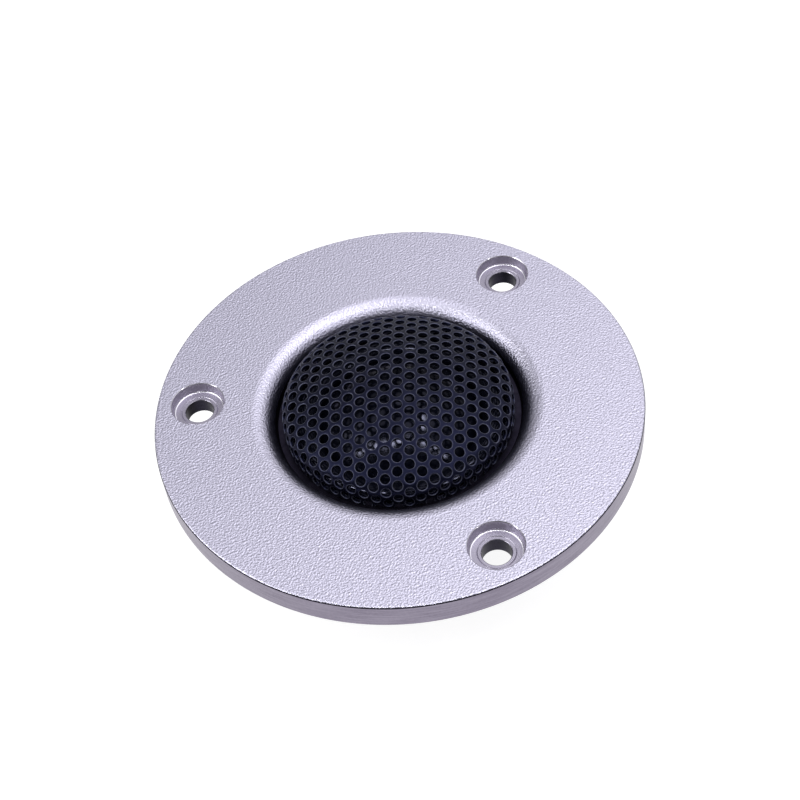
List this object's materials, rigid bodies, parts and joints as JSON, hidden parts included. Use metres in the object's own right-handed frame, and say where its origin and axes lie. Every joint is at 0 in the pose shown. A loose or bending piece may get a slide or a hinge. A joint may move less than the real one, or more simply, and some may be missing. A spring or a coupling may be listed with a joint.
{
  "type": "car tweeter",
  "caption": "Flush-mount car tweeter: round metal flange with counterbored screw holes, domed perforated grille, soft dome on a voice coil and a closed rear chamber.",
  "frame": {"origin": "centre of the flange's rear face, which lies against the panel", "axes": "+Z is the way the sound goes, along the tweeter's axis; one mounting hole lies on -Y, the others at 30 and 150 degrees from +X"},
  "size_m": [0.076, 0.076, 0.0276],
  "materials": {
    "face_plate": "die-cast aluminium, fine blasted, clear silver lacquer",
    "grille": "punched and drawn steel sheet, black semi-gloss powder coat",
    "gasket": "closed-cell foam, black",
    "diaphragm_carrier": "moulded ABS ring, black",
    "chassis_ring": "moulded glass-filled nylon, black",
    "yoke_cup": "turned low-carbon steel, zinc plated",
    "magnet": "sintered neodymium ring, nickel plated",
    "pole_plate": "turned low-carbon steel, zinc plated",
    "copper_cap": "pressed copper cap, bare",
    "dome_felt": "pressed wool felt, grey",
    "vent_plug": "pressed wool felt, grey",
    "chamber_wool": "bonded wadding, off-white",
    "rear_can": "turned aluminium, satin grey anodised",
    "can_seal": "rubber ring, black",
    "terminal_board": "paper phenolic laminate, brown",
    "tab_positive": "stamped brass blade, tin flashed",
    "tab_negative": "stamped brass blade, tin flashed",
    "terminal_rivets": "brass rivets",
    "board_screw": "machine screw, zinc plated",
    "assembly_screws": "machine screws, black zinc plated",
    "assembly_washers": "flat washers, zinc plated",
    "solder_joints": "tin solder, bright",
    "surround": "coated silk, black, glossy",
    "lead_wires": "copper tinsel wire, lacquered",
    "dome": "coated silk, black, glossy",
    "coil_former": "thin aluminium foil former",
    "coil_winding": "enamelled copper wire, wound"
  },
  "bodies": {
    "root": {"face_plate": "face_plate", "grille": "grille", "gasket": "gasket", "diaphragm_carrier": "diaphragm_carrier", "chassis_ring": "chassis_ring", "yoke_cup": "yoke_cup", "magnet": "magnet", "pole_plate": "pole_plate", "copper_cap": "copper_cap", "dome_felt": "dome_felt", "vent_plug": "vent_plug", "chamber_wool": "chamber_wool", "rear_can": "rear_can", "can_seal": "can_seal", "terminal_board": "terminal_board", "tab_positive": "tab_positive", "tab_negative": "tab_negative", "terminal_rivets": "terminal_rivets", "board_screw": "board_screw", "assembly_screws": "assembly_screws", "assembly_washers": "assembly_washers", "solder_joints": "solder_joints", "surround": "surround", "lead_wires": "lead_wires"},
    "diaphragm": {"dome": "dome", "coil_former": "coil_former", "coil_winding": "coil_winding"}
  },
  "joints": [
    {"name": "voice_coil_travel", "type": "slide", "parent": "root", "child": "diaphragm", "axis": [0, 0, 1], "range_m": [-0.0004, 0.0004], "stiffness_N_per_m": 200, "deforming": ["surround", "lead_wires"]}
  ]
}
